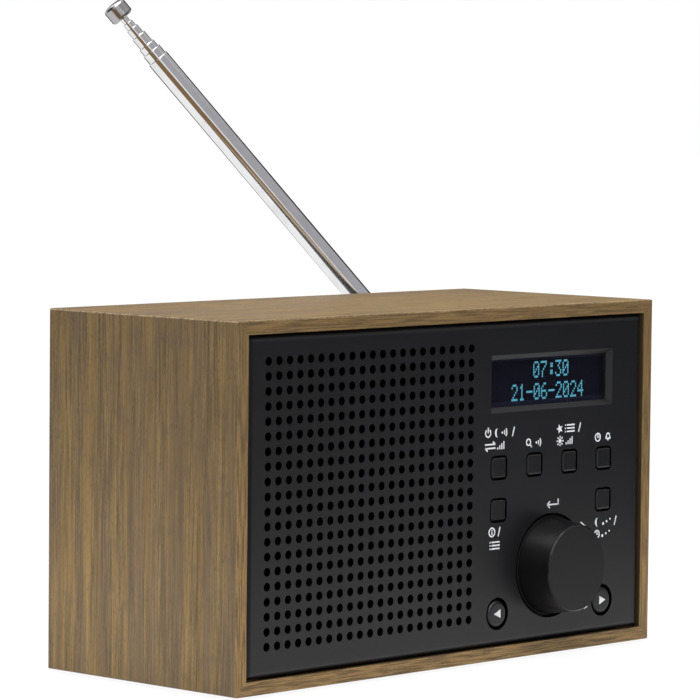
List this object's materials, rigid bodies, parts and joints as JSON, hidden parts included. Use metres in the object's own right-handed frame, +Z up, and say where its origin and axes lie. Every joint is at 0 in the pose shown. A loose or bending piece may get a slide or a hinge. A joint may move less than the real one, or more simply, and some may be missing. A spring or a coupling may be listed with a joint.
{
  "type": "tabletop radio",
  "caption": "Compact tabletop digital radio: wooden cabinet, black front panel with drilled speaker grille, display, keys and knob, and a telescopic antenna on a swivel at the back.",
  "frame": {"origin": "centre of the flat underside of the cabinet's bottom board; the feet reach 1 mm below it", "axes": "+X to the right as seen from the front, +Y from front to back, +Z up"},
  "size_m": [0.18, 0.1558, 0.198],
  "materials": {
    "oak_face": "oiled oak veneer, satin",
    "oak_side": "oiled oak veneer, satin",
    "batten_wood": "plain softwood",
    "panel_black": "fine satin texture",
    "key_black": "satin",
    "knob_black": "satin soft-touch",
    "window": "clear, dark tint",
    "display_glass": "dark navy",
    "foot_rubber": "matt",
    "chrome": "polished",
    "steel": "zinc plated",
    "board_green": "solder mask",
    "black_plastic": "moulded",
    "ivory_plastic": "moulded",
    "brass_part": "plain",
    "basket_steel": "painted grey",
    "magnet_iron": "ferrite and plate",
    "paper": "pressed paper",
    "surround_rubber": "matt",
    "cable_grey": "matt",
    "cable_red": "matt",
    "print_white": "screen print",
    "display_light": "lit display dots"
  },
  "bodies": {
    "cabinet": {"cabinet_top": "oak_face", "cabinet_bottom": "oak_face", "cabinet_left": "oak_side", "cabinet_right": "oak_side", "cabinet_battens": "batten_wood", "feet": "foot_rubber", "front_panel": "panel_black", "display_lens": "window", "lcd_glass": "display_glass", "lcd_frame": "steel", "control_board": "board_green", "switch_bodies": "black_plastic", "encoder_body": "steel", "speaker_basket": "basket_steel", "speaker_cone": "paper", "speaker_surround": "surround_rubber", "speaker_dust_cap": "paper", "speaker_magnet": "magnet_iron", "speaker_screws": "steel", "panel_screws": "steel", "board_screws": "steel", "main_board": "board_green", "board_standoffs": "brass_part", "dc_socket": "black_plastic", "headphone_socket": "black_plastic", "ribbon_cable": "cable_grey", "speaker_lead": "cable_red", "back_panel": "black_plastic", "back_screws": "steel", "antenna_bracket": "black_plastic"},
    "key_standby": {"key_standby": "key_black", "plunger_standby": "black_plastic"},
    "key_scan": {"key_scan": "key_black", "plunger_scan": "black_plastic"},
    "key_preset": {"key_preset": "key_black", "plunger_preset": "black_plastic"},
    "key_alarm": {"key_alarm": "key_black", "plunger_alarm": "black_plastic"},
    "key_info": {"key_info": "key_black", "plunger_info": "black_plastic"},
    "key_sleep": {"key_sleep": "key_black", "plunger_sleep": "black_plastic"},
    "key_previous": {"key_previous": "key_black", "plunger_previous": "black_plastic"},
    "key_next": {"key_next": "key_black", "plunger_next": "black_plastic"},
    "encoder_rotor": {"encoder_rotor": "ivory_plastic"},
    "knob": {"knob": "knob_black", "encoder_shaft": "steel"},
    "antenna_swivel": {"antenna_swivel": "chrome", "antenna_swivel_screw": "steel", "antenna_hinge_pin": "chrome"},
    "antenna_section_1": {"antenna_section_1": "chrome"},
    "antenna_section_2": {"antenna_section_2": "chrome"},
    "antenna_section_3": {"antenna_section_3": "chrome"},
    "antenna_section_4": {"antenna_section_4": "chrome"},
    "antenna_section_5": {"antenna_section_5": "chrome"},
    "antenna_section_6": {"antenna_section_6": "chrome"},
    "antenna_section_7": {"antenna_section_7": "chrome", "antenna_tip": "chrome"}
  },
  "joints": [
    {"name": "press_standby", "type": "slide", "parent": "cabinet", "child": "key_standby", "axis": [0, 1, 0], "range_m": [0, 0.0005], "stiffness_N_per_m": 400, "springref_m": -0.002},
    {"name": "press_scan", "type": "slide", "parent": "cabinet", "child": "key_scan", "axis": [0, 1, 0], "range_m": [0, 0.0005], "stiffness_N_per_m": 400, "springref_m": -0.002},
    {"name": "press_preset", "type": "slide", "parent": "cabinet", "child": "key_preset", "axis": [0, 1, 0], "range_m": [0, 0.0005], "stiffness_N_per_m": 400, "springref_m": -0.002},
    {"name": "press_alarm", "type": "slide", "parent": "cabinet", "child": "key_alarm", "axis": [0, 1, 0], "range_m": [0, 0.0005], "stiffness_N_per_m": 400, "springref_m": -0.002},
    {"name": "press_info", "type": "slide", "parent": "cabinet", "child": "key_info", "axis": [0, 1, 0], "range_m": [0, 0.0005], "stiffness_N_per_m": 400, "springref_m": -0.002},
    {"name": "press_sleep", "type": "slide", "parent": "cabinet", "child": "key_sleep", "axis": [0, 1, 0], "range_m": [0, 0.0005], "stiffness_N_per_m": 400, "springref_m": -0.002},
    {"name": "press_previous", "type": "slide", "parent": "cabinet", "child": "key_previous", "axis": [0, 1, 0], "range_m": [0, 0.0005], "stiffness_N_per_m": 400, "springref_m": -0.002},
    {"name": "press_next", "type": "slide", "parent": "cabinet", "child": "key_next", "axis": [0, 1, 0], "range_m": [0, 0.0005], "stiffness_N_per_m": 400, "springref_m": -0.002},
    {"name": "knob_turn", "type": "hinge", "parent": "cabinet", "child": "encoder_rotor", "pos_m": [0.0442, 0, 0.0266], "axis": [0, 1, 0], "continuous": true},
    {"name": "knob_press", "type": "slide", "parent": "encoder_rotor", "child": "knob", "axis": [0, 1, 0], "range_m": [0, 0.0005], "stiffness_N_per_m": 900, "springref_m": -0.002},
    {"name": "antenna_swing", "type": "hinge", "parent": "cabinet", "child": "antenna_swivel", "pos_m": [0.0635, 0.047, 0.0915], "axis": [0, 1, 0], "range_deg": [-56.4, 123.6]},
    {"name": "antenna_fold", "type": "hinge", "parent": "antenna_swivel", "child": "antenna_section_1", "pos_m": [0.0635, 0.047, 0.0915], "axis": [-0.8329, 0, -0.5534], "range_deg": [-24.6, 65.4]},
    {"name": "antenna_pull_2", "type": "slide", "parent": "antenna_section_1", "child": "antenna_section_2", "axis": [-0.5032, 0.4163, 0.7573], "range_m": [-0.0022, 0.085]},
    {"name": "antenna_pull_3", "type": "slide", "parent": "antenna_section_2", "child": "antenna_section_3", "axis": [-0.5032, 0.4163, 0.7573], "range_m": [-0.0014, 0.085]},
    {"name": "antenna_pull_4", "type": "slide", "parent": "antenna_section_3", "child": "antenna_section_4", "axis": [-0.5032, 0.4163, 0.7573], "range_m": [-0.0029, 0.085]},
    {"name": "antenna_pull_5", "type": "slide", "parent": "antenna_section_4", "child": "antenna_section_5", "axis": [-0.5032, 0.4163, 0.7573], "range_m": [-0.0021, 0.085]},
    {"name": "antenna_pull_6", "type": "slide", "parent": "antenna_section_5", "child": "antenna_section_6", "axis": [-0.5032, 0.4163, 0.7573], "range_m": [-0.0012, 0.085]},
    {"name": "antenna_pull_7", "type": "slide", "parent": "antenna_section_6", "child": "antenna_section_7", "axis": [-0.5032, 0.4163, 0.7573], "range_m": [-0.0008, 0.085]}
  ]
}
